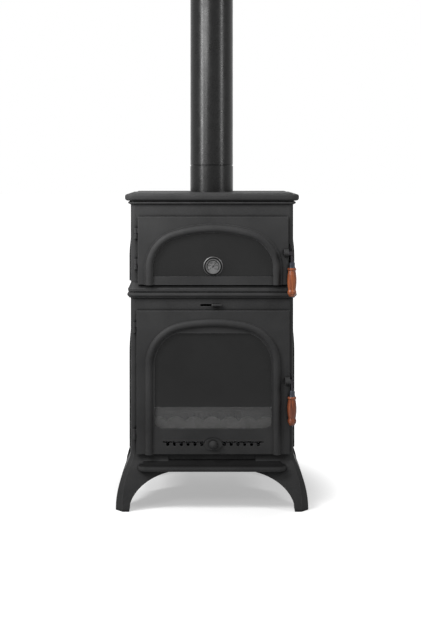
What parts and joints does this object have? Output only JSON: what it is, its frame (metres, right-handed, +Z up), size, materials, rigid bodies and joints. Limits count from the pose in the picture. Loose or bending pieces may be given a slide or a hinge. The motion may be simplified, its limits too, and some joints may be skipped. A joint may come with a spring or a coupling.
{
  "type": "wood stove with oven",
  "caption": "Cast-iron wood stove with a glazed oven over a glazed firebox, arched doors, turned wooden latch grips, air controls, splayed legs and a round flue pipe.",
  "frame": {"origin": "on the floor, under the middle of the feet", "axes": "+Z up, -Y to the front where the doors face, +X to the right of someone facing the doors"},
  "size_m": [0.624, 0.502, 1.815],
  "materials": {
    "cast_iron": "matte stove paint on sand-cast iron",
    "flue_paint": "satin",
    "stove_glass": "dark ceramic glass",
    "turned_wood": "varnished",
    "steel": "dull",
    "rope_seal": "woven glass rope",
    "firebrick": "matte",
    "bright_trim": "bright",
    "dial_paint": "matte",
    "oven_enamel": "dark enamel"
  },
  "bodies": {
    "root": {"airwash_rails": "steel", "ash_lip": "cast_iron", "ash_pan": "steel", "baffle_plate": "cast_iron", "base_plate": "cast_iron", "fire_grate": "cast_iron", "firebed_plate": "cast_iron", "firebox_back_panel": "cast_iron", "firebox_front_frame": "cast_iron", "firebox_left_panel": "cast_iron", "firebox_right_panel": "cast_iron", "flue_collar": "flue_paint", "hearth_bricks": "firebrick", "hinge_pins": "steel", "leg_back_left": "cast_iron", "leg_back_right": "cast_iron", "leg_bolts": "steel", "leg_front_left": "cast_iron", "leg_front_right": "cast_iron", "log_fence": "firebrick", "mid_plate": "cast_iron", "oven_back_panel": "cast_iron", "oven_back_wall": "oven_enamel", "oven_floor": "oven_enamel", "oven_front_frame": "cast_iron", "oven_left_panel": "cast_iron", "oven_left_wall": "oven_enamel", "oven_rack": "steel", "oven_right_panel": "cast_iron", "oven_right_wall": "oven_enamel", "oven_roof": "oven_enamel", "stove_pipe": "flue_paint", "tie_rods": "steel", "top_plate": "cast_iron"},
    "fire_door": {"fire_door_casting": "cast_iron", "fire_door_glass": "stove_glass", "fire_glass_gasket": "rope_seal", "fire_glass_clips": "steel", "fire_door_seal": "rope_seal", "shutter_guides": "steel", "fire_latch_pin": "steel"},
    "fire_latch": {"fire_latch_lever": "cast_iron", "fire_grip": "turned_wood", "fire_grip_fittings": "steel"},
    "shutter": {"air_shutter": "cast_iron", "air_knob": "cast_iron"},
    "oven_door": {"oven_door_casting": "cast_iron", "oven_door_glass": "stove_glass", "oven_glass_gasket": "rope_seal", "oven_glass_clips": "steel", "oven_door_seal": "rope_seal", "thermometer_case": "bright_trim", "thermometer_dial": "dial_paint", "thermometer_lens": "stove_glass", "oven_latch_pin": "steel"},
    "oven_latch": {"oven_latch_lever": "cast_iron", "oven_grip": "turned_wood", "oven_grip_fittings": "steel"},
    "pointer": {"thermometer_pointer": "steel"},
    "airwash": {"airwash_slide": "cast_iron"}
  },
  "joints": [
    {"name": "fire_door_swing", "type": "hinge", "parent": "root", "child": "fire_door", "pos_m": [-0.252, -0.212, 0.4145], "axis": [0, 0, -1], "range_deg": [0, 110]},
    {"name": "oven_door_swing", "type": "hinge", "parent": "root", "child": "oven_door", "pos_m": [-0.248, -0.212, 0.844], "axis": [0, 0, -1], "range_deg": [0, 110]},
    {"name": "fire_latch_turn", "type": "hinge", "parent": "fire_door", "child": "fire_latch", "pos_m": [0.257, -0.235, 0.415], "axis": [-1, 0, 0], "range_deg": [0, 40]},
    {"name": "oven_latch_turn", "type": "hinge", "parent": "oven_door", "child": "oven_latch", "pos_m": [0.257, -0.235, 0.831], "axis": [-1, 0, 0], "range_deg": [0, 40]},
    {"name": "air_shutter_slide", "type": "slide", "parent": "fire_door", "child": "shutter", "axis": [1, 0, 0], "range_m": [-0.011, 0.011]},
    {"name": "airwash_travel", "type": "slide", "parent": "root", "child": "airwash", "axis": [1, 0, 0], "range_m": [-0.035, 0]},
    {"name": "pointer_turn", "type": "hinge", "parent": "oven_door", "child": "pointer", "pos_m": [0.0035, -0.212, 0.787], "axis": [0, 1, 0], "range_deg": [-175, 95]}
  ]
}
